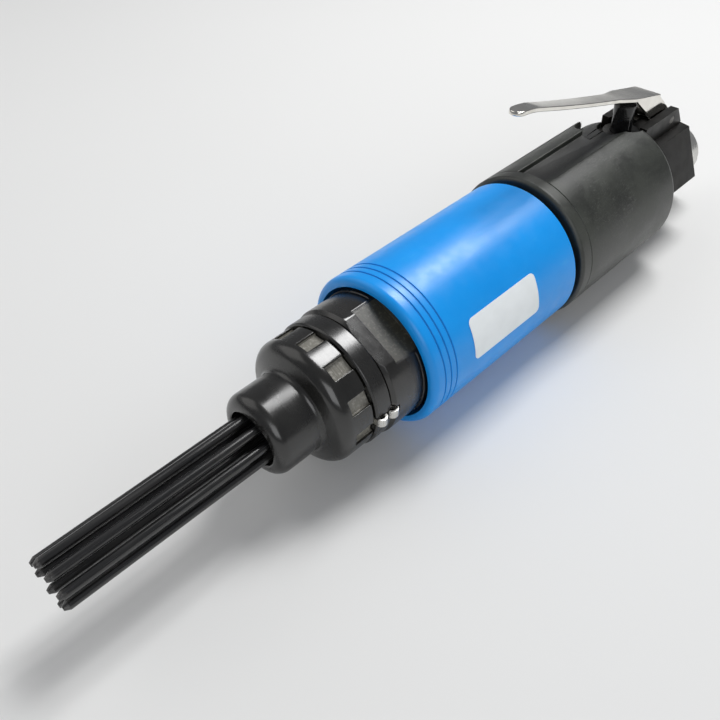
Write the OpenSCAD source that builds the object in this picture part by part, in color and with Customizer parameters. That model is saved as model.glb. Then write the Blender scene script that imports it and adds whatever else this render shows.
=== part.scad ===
// Inline needle scaler: a nose housing with eight needles, a hammer barrel in a grip sleeve,
// a rear casing over the backhead, a throttle lever with its valve, and an air inlet.
// Millimetres. +X runs towards the needles, +Y to the side with the label, +Z towards the lever.
// Stations along X are counted from the front of the grip sleeve before the part is placed.

/* [Needles] */
// needle diameter
needle_d = 3; // [2.6:0.1:3.2]
// needles in front of the nose
needle_reach = 68.5; // [50:0.5:100]
// circle the needles stand on, as a share of the guide bore
needle_circle_share = 0.585; // [0.575:0.005:0.595]
// needle head, as a share of the spacing between needles
needle_head_share = 0.8; // [0.75:0.05:0.9]
// needle head length
needle_head_len = 4; // [3:0.5:5]
// how far a needle can be pushed back
needle_push = 4.5; // [3:0.5:6]
// diameter left at the needle's tip
needle_tip_d = 2; // [1:0.1:2.4]
// length of the tapered tip
needle_tip_len = 1.6; // [1:0.2:4]
// thickness of the needle holder
holder_t = 6; // [5:0.5:7]
// length of the needle spring at rest
needle_spring_len = 18.7; // [16.2:0.5:19.7]
// wire of the needle spring
needle_spring_wire = 1.6; // [1.2:0.1:1.8]

/* [Nose housing] */
// nose diameter
nose_d = 28.6; // [28:0.2:29.6]
// flange diameter
flange_d = 44; // [43:0.2:45]
// length of the housing
nose_len = 31.1; // [30.1:0.2:36.1]
// straight part of the flange
flange_len = 8.7; // [8.3:0.2:10.3]
// round shoulder, as a share of the step from the nose to the flange
shoulder_share = 0.6; // [0.4:0.05:0.7]
// steepness of the cone between the shoulder and the neck, in degrees
bell_turn = 70; // [60:1:80]
// rounding of the nose's front edge
nose_edge_r = 4; // [2:0.2:4.2]
// thickness of the front lip
lip_len = 4; // [3.5:0.5:5]
// number of slots around the flange
slot_count = 11; // [6:1:12]
// slot width
slot_w = 5.2; // [4:0.2:7]
// slot depth
slot_depth = 1.8; // [1:0.1:2.4]
// slot length
slot_len = 8; // [6:0.2:9]

/* [Barrel and hammer] */
// barrel head diameter
head_d = 46.6; // [45.6:0.2:47.2]
// barrel head in front of the sleeve
head_reach = 13.9; // [12.5:0.1:16]
// lock ring length
ring_len = 6.8; // [6:0.2:9]
// lock ring diameter
ring_d = 45.4; // [44.6:0.2:46]
// spanner flat to the axis
flat_reach = 20.5; // [20:0.1:21.4]
// flats turned from upright towards the label side
flat_turn = 28.5; // [20:0.5:40]
// spigot that the nose housing screws onto, as a share of the flange or the lock ring
spigot_share = 0.71; // [0.7:0.005:0.72]
// bore that guides the needle holder, as a share of the nose
guide_share = 0.86; // [0.84:0.01:0.87]
// barrel diameter behind its head
barrel_d = 38; // [36:0.5:39]
// bore of the hammer piston
piston_bore_d = 22; // [20:0.5:23]
// piston length
piston_len = 32; // [28:1:34]
// piston stroke
stroke = 26; // [22:1:28]
// anvil shank diameter
shank_d = 14; // [12:0.5:16]
// free travel of the anvil
anvil_travel = 3; // [2:0.5:4]

/* [Grip sleeve] */
// sleeve diameter
sleeve_d = 56; // [55.4:0.2:57]
// sleeve length
sleeve_len = 78.5; // [75:0.5:84]
// sleeve wall
sleeve_wall = 3.2; // [3:0.1:3.6]
// rounding of the sleeve's front edge
sleeve_edge_r = 2.4; // [1:0.2:2.6]
// first groove from the sleeve's front
groove_first = 5.2; // [4:0.2:7]
// spacing of the three grooves
groove_pitch = 2.8; // [2:0.1:4]
// groove width
groove_w = 0.65; // [0.5:0.05:1.2]
// groove depth
groove_depth = 0.4; // [0.3:0.1:1]
// label length
label_len = 35; // [20:1:50]
// label height around the sleeve
label_h = 15.4; // [8:0.2:18]
// label from the sleeve's front
label_front = 20; // [16:0.5:24]
// label thickness
label_t = 0.3; // [0.2:0.05:0.5]

/* [Rear casing] */
// casing and collar diameter
casing_d = 58; // [57.6:0.2:60]
// casing length
casing_len = 61.2; // [58:0.2:70]
// collar length
collar_len = 5.6; // [4:0.2:8]
// open gap between sleeve and collar
rear_gap = 2.9; // [1:0.1:4]
// width of the channel along the top
channel_w = 8.4; // [6:0.2:10]
// depth of the channel
channel_depth = 3; // [1.5:0.1:3]
// channel moved away from the label side
channel_shift = 3.2; // [0:0.2:4]
// run of the channel's sloping side, towards the label
channel_ramp = 6; // [1:0.5:7]
// radius of the scoop around the stem, on the side away from the label
scoop_r = 18.5; // [14:0.5:20]
// rounding of the rear edge
casing_edge_r = 2.5; // [1:0.1:2.8]
// how much is taken off underneath to lie flat
foot_cut = 1.7; // [1.2:0.1:2]

/* [Backhead] */
// hexagon across flats
hex_af = 38.8; // [38:0.2:39.4]
// hexagon turned from level towards the label side
hex_turn = 8.5; // [0:0.5:10]
// hexagon behind the casing
hex_len = 32.6; // [32.4:0.2:40]
// ears above the hexagon
ear_h = 7.2; // [6.8:0.2:8.6]
// ear thickness
ear_t = 3.7; // [2.8:0.1:3.8]

/* [Lever and throttle] */
// lever width
lever_w = 12; // [11.8:0.1:12.4]
// lever width a little in front of the lugs
lever_mid_w = 8; // [6.5:0.5:11]
// lever width at the tip
lever_tip_w = 6; // [4:0.5:6.5]
// lever thickness
lever_t = 1.6; // [1.4:0.1:2]
// pivot to lever tip
lever_len = 107.6; // [95:0.2:120]
// lever angle at rest
lever_tilt = 13; // [12.5:0.5:16]
// pivot to the underside of the lever
lever_rise = 8.9; // [8.6:0.1:9.6]
// thickness of the lever's side lugs
lug_t = 1.4; // [1.1:0.1:1.4]
// rear end of the lever strip from the pivot
lug_back = 9; // [7:0.5:11]
// front end of the lugs from the pivot
lug_front = 29.5; // [27:0.5:31]
// rounded end of the lugs
lug_end_r = 4.5; // [4:0.1:4.8]
// upward bow of the lever at its tip
lever_bow = 5.2; // [3:0.2:7]
// how far the end of the lever turns down again
lever_tip_drop = 1.8; // [0:0.2:3]
// throttle stem to lever pivot
pivot_back = 23.6; // [23:0.2:25]
// lever pivot above the hexagon
pivot_up = 3.4; // [3:0.1:3.6]
// lever pin diameter
lever_pin_d = 3.5; // [3:0.25:4]
// lever travel in degrees
lever_swing = 13; // [8:1:13]
// throttle stem diameter
stem_d = 8.4; // [7.6:0.2:8.4]
// throttle stem head diameter
stem_head_d = 8.8; // [8.6:0.1:8.8]
// throttle ball diameter
ball_d = 10.6; // [10:0.2:11.2]

/* [Air inlet] */
// inlet bush diameter
inlet_d = 26.5; // [20:0.5:28]
// inlet bush behind the hexagon
inlet_reach = 22.2; // [15:0.2:26]
// inlet below the axis
inlet_drop = 6.5; // [0:0.5:6.5]
// bore for a quarter inch pipe thread
inlet_bore_d = 11.44; // [11:0.02:11.8]
// depth of the threaded bore
inlet_bore_len = 12; // [10:0.5:13]

/* [Hidden] */
$fn = 64;

// cuts run past the material by this much
overrun = 1;
// open seam between two end faces
seam = 0.2;
// radial clearance of a sliding fit
slide_fit = 0.06;
// radial clearance of parts pushed together
push_fit = 0.03;
// radial clearance of a cover over its core
cover_fit = 0.1;
// face clearance where two pieces meet and part again
touch = 0.1;
// small edge break
edge_break = 0.6;
// steps of an arc in a turned profile
arc_steps = 10;

// needles and holder
needle_count = 8;
needle_r = needle_d / 2;
needle_hole_fit = 0.08;
needle_phase = 18;
nose_r = nose_d / 2;
spigot_r = spigot_share * min(flange_d, ring_d) / 2;
guide_r = guide_share * nose_r;
needle_circle_r = needle_circle_share * guide_r;
needle_spacing = 2 * needle_circle_r * sin(180 / needle_count);
needle_head_d = needle_head_share * needle_spacing;
lip_share = 0.78;
nose_bore_r = lip_share * guide_r;
lip_break = 0.4;
needle_spring_turns = 5;
needle_spring_play = 0.5;
needle_spring_r = guide_r - needle_spring_play - needle_spring_wire / 2;

// stations of the nose
ring_x0 = head_reach + seam;
ring_x1 = ring_x0 + ring_len;
nose_x0 = ring_x1 + seam;
nose_x1 = nose_x0 + nose_len;
tip_x = nose_x1 + needle_reach;
lip_x0 = nose_x1 - lip_len;
spigot_len = 9.4;
spigot_x1 = nose_x0 + spigot_len;
flange_r = flange_d / 2;
shoulder_r = shoulder_share * (flange_r - nose_r);
neck_share = 0.26;
fillet_r = neck_share * (flange_r - nose_r);
shoulder_end = 90 - bell_turn;
neck_start = 180 + shoulder_end;
bell_drop = flange_r - nose_r - (shoulder_r + fillet_r) * (1 - cos(bell_turn));
shoulder_x0 = nose_x0 + flange_len;
neck_x = shoulder_x0 + (shoulder_r + fillet_r) * sin(bell_turn) + bell_drop / tan(bell_turn);

// stations of the hammer, from the needle spring backwards
holder_x1 = lip_x0 - needle_spring_len;
holder_x0 = holder_x1 - holder_t;
needle_head_x1 = holder_x0 - touch;
needle_head_x0 = needle_head_x1 - needle_head_len;
anvil_head_len = 6;
anvil_head_play = 0.6;
anvil_x1 = needle_head_x0 - needle_push - seam;
anvil_x0 = anvil_x1 - anvil_head_len;
bush_len = 20;
bush_x1 = anvil_x0 - touch;
bush_x0 = bush_x1 - bush_len;
shank_r = shank_d / 2;
shank_stay = 1;
shank_reach = anvil_travel + shank_stay;
shank_x0 = bush_x0 - shank_reach;
piston_r = piston_bore_d / 2 - slide_fit;
piston_x1 = shank_x0 - touch;
piston_x0 = piston_x1 - piston_len;
piston_room = 2;
piston_relief = 0.5;
piston_land = 6;
barrel_x0 = piston_x0 - stroke - piston_room;
head_x0 = -10;
lug_ring_len = 4;
lug_ring_x0 = head_x0 - lug_ring_len;
exhaust_count = 6;
exhaust_w = 9;
exhaust_hole_r = 2;
exhaust_share = 0.5;
exhaust_x = barrel_x0 * exhaust_share;
flat_x0 = -2;
flat_len = 10.4;
front_flat_rise = 0.9;
head_chamfer = 1.2;

// valve chest
cup_len = 9.8;
chest_r = 17;
seat_t = 4;
seat_x0 = barrel_x0 - seat_t;
cap_len = 12.2;
cap_x0 = seat_x0 - cap_len;
disc_t = 1.5;
disc_r = 10.5;
disc_travel = 2.6;
disc_room = disc_t + disc_travel + edge_break;
disc_room_r = 12;
disc_pin_r = 3;
disc_x1 = seat_x0 - seam;
cap_recess = 2;
cap_recess_r = 14;
port_count = 6;
port_r = 1.5;
port_circle_r = 7;

// grip sleeve
sleeve_r = sleeve_d / 2;
sleeve_bore_r = sleeve_r - sleeve_wall;
sleeve_x0 = -sleeve_len;
groove_count = 3;
head_gap = 1.2;
neck_r = sleeve_bore_r - head_gap;
label_turn = 73;
label_lift = 0.02;

// rear casing and backhead
casing_r = casing_d / 2;
collar_x1 = sleeve_x0 - rear_gap;
collar_x0 = collar_x1 - collar_len;
casing_x1 = collar_x0 - seam;
casing_x0 = casing_x1 - casing_len;
casing_wall_len = 3;
back_step = 0.8;
back_r = sleeve_bore_r - back_step;
cover_r = back_r + cover_fit;
seal_len = 9;
back_x1 = max(barrel_x0 + cup_len, sleeve_x0 + seal_len);
back_x0 = casing_x0 + casing_wall_len + seam;
tail_gap = 6.3;
tail_r = sleeve_bore_r - tail_gap;
tail_x1 = back_x1 + seam;
hex_x0 = casing_x0 - hex_len;
hex_limit_r = cover_r - 2 * edge_break;
hex_corner_r = min(hex_af / 2 / cos(30), hex_limit_r);
hex_half = hex_corner_r * cos(30);
hex_hole_r = hex_corner_r + edge_break;
collar_edge_r = 1.5;
channel_z = casing_r - channel_depth;

// seal rings
seal_wire_r = 1.15;
seal_gap = 0.05;
seal_room_share = 1.2;
seal_room = seal_room_share * seal_wire_r;
seal_set_in = 4.6;
sleeve_seal_x = sleeve_x0 + seal_set_in;
sleeve_seal_r = sleeve_bore_r - seal_gap - seal_wire_r;
barrel_seal_r = tail_r - seal_gap - seal_wire_r;
barrel_seal_x = barrel_x0 + cup_len / 2;
stem_seal_wire_r = 0.75;
stem_seal_room = seal_room_share * stem_seal_wire_r;

// lever, in its own lengthwise and upright directions from the pivot
stem_set_in = 1.2;
stem_x = casing_x0 + stem_set_in;
pivot_x = stem_x - pivot_back;
pivot_z = hex_half + pivot_up;
lever_side = 0.5;
ear_in = lever_w / 2 + lever_side;
ear_gap = 0.8;
ear_x1 = casing_x0 - ear_gap;
ear_top_back = 4;
ear_z = hex_half + ear_h;
ear_slope = 5;
ear_x0 = pivot_x - ear_top_back - ear_slope;
ear_slot_depth = 3.9;
lug_lean = atan2(lever_rise + lever_t, (lug_front + lug_back) / 2);
lever_pin_r = lever_pin_d / 2;
bow_steps = 30;
lever_tip_len = 12;
lever_taper_len = 10;
function bow_at(u) = lever_bow * u * u / (lever_len * lever_len);
function drop_at(u) = lever_tip_drop * pow(max(0, u - lever_len + lever_tip_len) / lever_tip_len, 2);

// throttle valve, upright at the stem
stem_r = stem_d / 2;
stem_rod_r = 3;
stem_head_r = stem_head_d / 2;
dome_h = 2;
dome_r = (stem_head_r * stem_head_r + dome_h * dome_h) / (2 * dome_h);
stem_u = (pivot_back + lever_rise * sin(lever_tilt)) / cos(lever_tilt);
under_z = pivot_z + stem_u * sin(lever_tilt) + (lever_rise + bow_at(stem_u)) * cos(lever_tilt);
under_slope = lever_tilt + atan(2 * bow_at(stem_u) / stem_u);
dome_z = under_z - (dome_r + touch) / cos(under_slope);
stem_top_z = dome_z + dome_r;
stem_ratio = 26.6;
stem_travel = lever_swing * PI / 180 * stem_ratio;
valve_r = 6.3;
boss_r = 9.2;
bush_rim = 0.9;
boss_up = 2.6;
boss_z = hex_half + boss_up;
bush_flange_r = valve_r + bush_rim;
bush_flange_t = 2;
bush_top_z = boss_z + bush_flange_t;
flare_z = bush_top_z + stem_travel + edge_break;
head_side_z = stem_top_z - dome_h;
throttle_seat_z = 8;
throttle_seat_t = 1.5;
throttle_seat_r = 4.2;
bush_z = throttle_seat_z + throttle_seat_t;
bush_room_r = 5.4;
bush_room_len = 5.5;
bush_port_r = 2;
bush_port_z = bush_z + bush_room_len / 2;
ball_r = ball_d / 2;
ball_z = throttle_seat_z - sqrt(ball_r * ball_r - throttle_seat_r * throttle_seat_r) - push_fit;
stem_foot_z = ball_z + ball_r + push_fit;
stem_neck_z = bush_z + stem_travel + edge_break;
stem_seal_z = bush_top_z - 2 * stem_seal_wire_r;
throttle_spring_wire = 0.9;
throttle_spring_turns = 4.5;
throttle_spring_len = 11.8;
throttle_spring_r = 3.4;
spring_reach = ball_r + throttle_spring_wire / 2;
spring_clear = spring_reach + seal_gap;
spring_sink = spring_reach - sqrt(spring_clear * spring_clear - throttle_spring_r * throttle_spring_r);
throttle_spring_top = ball_z - ball_r + spring_sink;
valve_floor_z = throttle_spring_top - throttle_spring_len;
supply_r = 2.2;

// air inlet
inlet_r = inlet_d / 2;
inlet_x0 = hex_x0 - inlet_reach;
inlet_spigot_r = 9;
inlet_spigot_len = 13;
inlet_bore_r = inlet_bore_d / 2;
inlet_pass_r = 4;
inlet_chamfer = 1.2;
screen_t = 0.8;
inlet_step = 0.8;
screen_r = inlet_bore_r - inlet_step;
screen_hole_r = 0.7;
screen_circle_r = 2.6;
screen_holes = 6;
inlet_x1 = hex_x0 + inlet_spigot_len;
screen_x0 = inlet_x0 + inlet_bore_len;

// placing: the middle of the length at the origin, the flat underneath at zero
axis_z = casing_r - foot_cut;
mid_x = (tip_x + inlet_x0) / 2;

// lock clip in the lock ring
clip_turn = 93;
clip_w = 3;
clip_side = 0.3;
clip_sink = 2.7;
clip_seat_r = ring_d / 2 - clip_sink;
clip_t = 0.9;
clip_over = 2.2;
clip_x0 = head_reach - clip_over;
clip_len = ring_x1 - clip_x0;
clip_lobe_r = 2.1;
clip_lobe_up = 2.3;

module placed() {
    translate([-mid_x, 0, axis_z])
        children();
}

module bar(x0, x1, r) {
    translate([x0, 0, 0])
        rotate([0, 90, 0])
            cylinder(h = x1 - x0, r = r);
}

module cone(x0, x1, r0, r1) {
    translate([x0, 0, 0])
        rotate([0, 90, 0])
            cylinder(h = x1 - x0, r1 = r0, r2 = r1);
}

module turned(profile) {
    rotate([0, 90, 0])
        rotate_extrude()
            polygon(profile);
}

module ring_of(r, wire_r, x) {
    translate([x, 0, 0])
        rotate([0, 90, 0])
            rotate_extrude()
                translate([r, 0])
                    circle(r = wire_r);
}

// room for the lock clip, cut into the lock ring and the barrel head
module clip_room() {
    rotate([-clip_turn, 0, 0])
        translate([clip_x0 - clip_side, -clip_w / 2 - clip_side, clip_seat_r])
            cube([clip_len + clip_side + overrun, clip_w + 2 * clip_side, ring_d]);
}

// a box under the part that leaves a flat to lie on
module foot_flat(x0, x1) {
    translate([x0, -casing_r, -axis_z - casing_r])
        cube([x1 - x0, casing_d, casing_r]);
}

// arc points for a turned profile, as radius and station
function arc(x, r, rad, a0, a1) = [
    for (i = [0 : arc_steps])
        let (a = a0 + (a1 - a0) * i / arc_steps)
            [r + rad * sin(a), x + rad * cos(a)]
];

// centre points and skin of a round wire wound along +Z
ring_sides = 6;
rings_per_turn = 8;
function coil_at(t, turns, rad, wire, len) =
    [rad * cos(360 * turns * t), rad * sin(360 * turns * t), wire / 2 + (len - wire) * t];
function coil_frame(t, turns, rad, wire, len) =
    let (
        along = (len - wire) / turns,
        round = 2 * PI * rad,
        whole = sqrt(along * along + round * round),
        a = 360 * turns * t
    )
    [
        [cos(a), sin(a), 0],
        [along * sin(a) / whole, -along * cos(a) / whole, round / whole]
    ];
function coil_points(turns, rad, wire, len) = [
    for (i = [0 : turns * rings_per_turn])
        let (
            t = i / (turns * rings_per_turn),
            c = coil_at(t, turns, rad, wire, len),
            f = coil_frame(t, turns, rad, wire, len)
        )
        for (k = [0 : ring_sides - 1])
            let (b = 360 * k / ring_sides)
                c + wire / 2 * (cos(b) * f[0] + sin(b) * f[1])
];
function coil_faces(turns) =
    let (last = turns * rings_per_turn, n = ring_sides)
    concat(
        [
            for (i = [0 : last - 1])
                for (k = [0 : n - 1])
                    for (half = [0, 1])
                        let (
                            p = i * n + k,
                            q = i * n + (k + 1) % n
                        )
                        half == 0 ? [p, q, q + n] : [p, q + n, p + n]
        ],
        [for (k = [1 : n - 2]) [0, k + 1, k]],
        [for (k = [1 : n - 2]) [last * n, last * n + k, last * n + k + 1]]
    );

module coil(turns, rad, wire, len) {
    polyhedron(points = coil_points(turns, rad, wire, len), faces = coil_faces(turns));
}

// least open gap between two turns, measured between centre points one turn apart
function coil_gap(turns, rad, wire, len) = min([
    for (i = [0 : (turns - 1) * rings_per_turn])
        let (
            a = coil_at(i / (turns * rings_per_turn), turns, rad, wire, len),
            b = coil_at((i + rings_per_turn) / (turns * rings_per_turn), turns, rad, wire, len)
        )
        norm(a - b) - wire
]);
echo(needle_spring_gap = coil_gap(needle_spring_turns, needle_spring_r, needle_spring_wire,
    needle_spring_len));
echo(throttle_spring_gap = coil_gap(throttle_spring_turns, throttle_spring_r, throttle_spring_wire,
    throttle_spring_len));

module needle(i) {
    color([0.07, 0.07, 0.08])
        placed()
            rotate([needle_phase + i * 360 / needle_count, 0, 0])
                translate([0, 0, needle_circle_r])
                    turned([
                        [0, needle_head_x0],
                        [needle_head_d / 2 - edge_break, needle_head_x0],
                        [needle_head_d / 2, needle_head_x0 + edge_break],
                        [needle_head_d / 2, needle_head_x1],
                        [needle_r, needle_head_x1],
                        [needle_r, tip_x - needle_tip_len],
                        [needle_tip_d / 2, tip_x - edge_break],
                        [needle_tip_d / 2 - edge_break / 2, tip_x],
                        [0, tip_x]
                    ]);
}

module needle_1() {
    needle(0);
}

module needle_2() {
    needle(1);
}

module needle_3() {
    needle(2);
}

module needle_4() {
    needle(3);
}

module needle_5() {
    needle(4);
}

module needle_6() {
    needle(5);
}

module needle_7() {
    needle(6);
}

module needle_8() {
    needle(7);
}

module needle_holder() {
    color([0.35, 0.35, 0.37])
        placed()
            difference() {
                bar(holder_x0, holder_x1, guide_r - slide_fit);
                for (i = [0 : needle_count - 1])
                    rotate([needle_phase + i * 360 / needle_count, 0, 0])
                        translate([0, 0, needle_circle_r])
                            bar(holder_x0 - overrun, holder_x1 + overrun, needle_r + needle_hole_fit);
            }
}

module needle_spring() {
    color([0.6, 0.6, 0.62])
        placed()
            translate([holder_x1, 0, 0])
                rotate([0, 90, 0])
                    coil(needle_spring_turns, needle_spring_r, needle_spring_wire, needle_spring_len);
}

module nose_housing() {
    color([0.06, 0.06, 0.07])
        placed()
            difference() {
                turned(concat(
                    [[0, nose_x0], [flange_r - edge_break, nose_x0], [flange_r, nose_x0 + edge_break]],
                    arc(shoulder_x0, flange_r - shoulder_r, shoulder_r, 90, shoulder_end),
                    arc(neck_x, nose_r + fillet_r, fillet_r, neck_start, 270),
                    arc(nose_x1 - nose_edge_r, nose_r - nose_edge_r, nose_edge_r, 90, 0),
                    [[0, nose_x1]]
                ));
                bar(lip_x0 - overrun, nose_x1 + overrun, nose_bore_r);
                cone(nose_x1 - lip_break, nose_x1 + overrun,
                    nose_bore_r, nose_bore_r + lip_break + overrun);
                bar(nose_x0 - overrun, lip_x0, guide_r);
                bar(nose_x0 - overrun, spigot_x1 + seam, spigot_r + cover_fit);
                for (i = [0 : slot_count - 1])
                    rotate([i * 360 / slot_count, 0, 0])
                        translate([nose_x0 - overrun, -slot_w / 2, flange_r - slot_depth])
                            cube([slot_len + overrun, slot_w, slot_depth + overrun]);
            }
}

module lock_ring() {
    color([0.07, 0.07, 0.08])
        placed()
            difference() {
                turned([
                    [spigot_r + cover_fit, ring_x0],
                    [ring_d / 2 - edge_break, ring_x0],
                    [ring_d / 2, ring_x0 + edge_break],
                    [ring_d / 2, ring_x1 - edge_break],
                    [ring_d / 2 - edge_break, ring_x1],
                    [spigot_r + cover_fit, ring_x1]
                ]);
                clip_room();
            }
}

// one bow of the lock clip, a round top on straight legs
module clip_bow(r, foot) {
    translate([0, clip_lobe_up])
        circle(r = r);
    translate([-r, foot])
        square([2 * r, clip_lobe_up - foot]);
}

module lock_clip() {
    color([0.8, 0.8, 0.82])
        placed()
            rotate([-clip_turn, 0, 0])
                translate([clip_x0, 0, clip_seat_r])
                    rotate([90, 0, 0])
                        linear_extrude(height = clip_w, center = true)
                            union() {
                                square([clip_len, clip_t]);
                                for (x = [clip_lobe_r, clip_len - clip_lobe_r])
                                    translate([x, 0])
                                        difference() {
                                            clip_bow(clip_lobe_r, 0);
                                            clip_bow(clip_lobe_r - clip_t, clip_t);
                                        }
                            }
}

module spanner_flats() {
    for (side = [0, 180])
        rotate([-flat_turn + side, 0, 0]) {
            translate([flat_x0, -head_d, flat_reach])
                cube([flat_len, 2 * head_d, head_d]);
            translate([flat_x0, -head_d, flat_reach + front_flat_rise])
                cube([head_reach - flat_x0 + overrun, 2 * head_d, head_d]);
        }
}

module barrel() {
    color([0.08, 0.08, 0.09])
        placed()
            difference() {
                union() {
                    difference() {
                        turned([
                            [0, head_x0],
                            [neck_r, head_x0],
                            [neck_r, seam],
                            [head_d / 2, seam],
                            [head_d / 2, head_reach - head_chamfer],
                            [head_d / 2 - head_chamfer, head_reach],
                            [0, head_reach]
                        ]);
                        spanner_flats();
                        clip_room();
                    }
                    difference() {
                        bar(lug_ring_x0, head_x0, sleeve_bore_r - cover_fit);
                        for (i = [0 : exhaust_count - 1])
                            rotate([i * 360 / exhaust_count, 0, 0])
                                translate([lug_ring_x0 - overrun, -exhaust_w / 2, barrel_d / 2])
                                    cube([lug_ring_len + 2 * overrun, exhaust_w, barrel_d]);
                    }
                    bar(barrel_x0, tail_x1 + overrun, tail_r);
                    bar(tail_x1, head_x0, barrel_d / 2);
                    bar(0, spigot_x1, spigot_r);
                }
                bar(bush_x0, spigot_x1 + overrun, guide_r);
                bar(barrel_x0 - overrun, bush_x0 + overrun, piston_bore_d / 2);
                for (turn = [45, 135])
                    rotate([turn, 0, 0])
                        translate([exhaust_x, 0, -barrel_d])
                            cylinder(h = 2 * barrel_d, r = exhaust_hole_r);
                difference() {
                    bar(barrel_seal_x - seal_room, barrel_seal_x + seal_room, barrel_d);
                    bar(barrel_x0 - overrun, 0, barrel_seal_r - seal_wire_r - seal_gap);
                }
            }
}

module barrel_o_ring() {
    color([0.03, 0.03, 0.03])
        placed()
            ring_of(barrel_seal_r, seal_wire_r, barrel_seal_x);
}

module anvil() {
    color([0.5, 0.5, 0.52])
        placed()
            union() {
                turned([
                    [0, anvil_x0],
                    [guide_r - anvil_head_play, anvil_x0],
                    [guide_r - anvil_head_play, anvil_x1 - edge_break],
                    [guide_r - anvil_head_play - edge_break, anvil_x1],
                    [0, anvil_x1]
                ]);
                turned([
                    [0, shank_x0],
                    [shank_r - edge_break, shank_x0],
                    [shank_r, shank_x0 + edge_break],
                    [shank_r, anvil_x0 + overrun],
                    [0, anvil_x0 + overrun]
                ]);
            }
}

module anvil_bush() {
    color([0.7, 0.55, 0.25])
        placed()
            difference() {
                bar(bush_x0, bush_x1, guide_r - push_fit);
                bar(bush_x0 - overrun, bush_x1 + overrun, shank_r + slide_fit);
            }
}

module piston() {
    color([0.55, 0.55, 0.57])
        placed()
            turned([
                [0, piston_x0],
                [piston_r - edge_break, piston_x0],
                [piston_r, piston_x0 + edge_break],
                [piston_r, piston_x0 + piston_land],
                [piston_r - piston_relief, piston_x0 + piston_land + piston_relief],
                [piston_r - piston_relief, piston_x1 - piston_land - piston_relief],
                [piston_r, piston_x1 - piston_land],
                [piston_r, piston_x1 - edge_break],
                [piston_r - edge_break, piston_x1],
                [0, piston_x1]
            ]);
}

module ports(x0, x1) {
    for (i = [0 : port_count - 1])
        rotate([i * 360 / port_count, 0, 0])
            translate([0, 0, port_circle_r])
                bar(x0, x1, port_r);
}

module valve_seat() {
    color([0.5, 0.5, 0.5])
        placed()
            difference() {
                bar(seat_x0, barrel_x0, chest_r - push_fit);
                ports(seat_x0 - overrun, barrel_x0 + overrun);
            }
}

module valve_disc() {
    color([0.6, 0.6, 0.62])
        placed()
            difference() {
                bar(disc_x1 - disc_t, disc_x1, disc_r);
                bar(disc_x1 - disc_t - overrun, disc_x1 + overrun, disc_pin_r + slide_fit);
            }
}

module valve_cap() {
    color([0.5, 0.5, 0.52])
        placed()
            difference() {
                bar(cap_x0, seat_x0, chest_r - push_fit);
                difference() {
                    bar(seat_x0 - disc_room, seat_x0 + overrun, disc_room_r);
                    bar(cap_x0, seat_x0 - touch, disc_pin_r);
                }
                bar(cap_x0 - overrun, cap_x0 + cap_recess, cap_recess_r);
                ports(cap_x0 - overrun, seat_x0 - disc_room + overrun);
            }
}

module grip_sleeve() {
    color([0.05, 0.4, 0.85])
        placed()
            difference() {
                turned(concat(
                    [
                        [sleeve_bore_r, sleeve_x0],
                        [sleeve_r - edge_break, sleeve_x0],
                        [sleeve_r, sleeve_x0 + edge_break]
                    ],
                    arc(-sleeve_edge_r, sleeve_r - sleeve_edge_r, sleeve_edge_r, 90, 0),
                    [[sleeve_bore_r, 0]]
                ));
                for (i = [0 : groove_count - 1])
                    difference() {
                        bar(-groove_first - i * groove_pitch - groove_w / 2,
                            -groove_first - i * groove_pitch + groove_w / 2, sleeve_r + overrun);
                        bar(sleeve_x0, 0, sleeve_r - groove_depth);
                    }
                foot_flat(sleeve_x0 - overrun, overrun);
            }
}

module label_plate() {
    color([0.92, 0.92, 0.92])
        placed()
            intersection() {
                difference() {
                    bar(-label_front - label_len, -label_front, sleeve_r + label_t);
                    bar(-label_front - label_len - overrun, -label_front + overrun, sleeve_r + label_lift);
                }
                rotate([-label_turn, 0, 0])
                    translate([-label_front - label_len, -label_h / 2, 0])
                        cube([label_len, label_h, sleeve_d]);
            }
}

module sleeve_o_ring() {
    color([0.03, 0.03, 0.03])
        placed()
            ring_of(sleeve_seal_r, seal_wire_r, sleeve_seal_x);
}

module collar_ring() {
    color([0.1, 0.1, 0.11])
        placed()
            difference() {
                turned(concat(
                    [[cover_r, collar_x0], [casing_r, collar_x0]],
                    arc(collar_x1 - collar_edge_r, casing_r - collar_edge_r, collar_edge_r, 90, 0),
                    [[cover_r, collar_x1]]
                ));
                foot_flat(collar_x0 - overrun, collar_x1 + overrun);
            }
}

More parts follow.
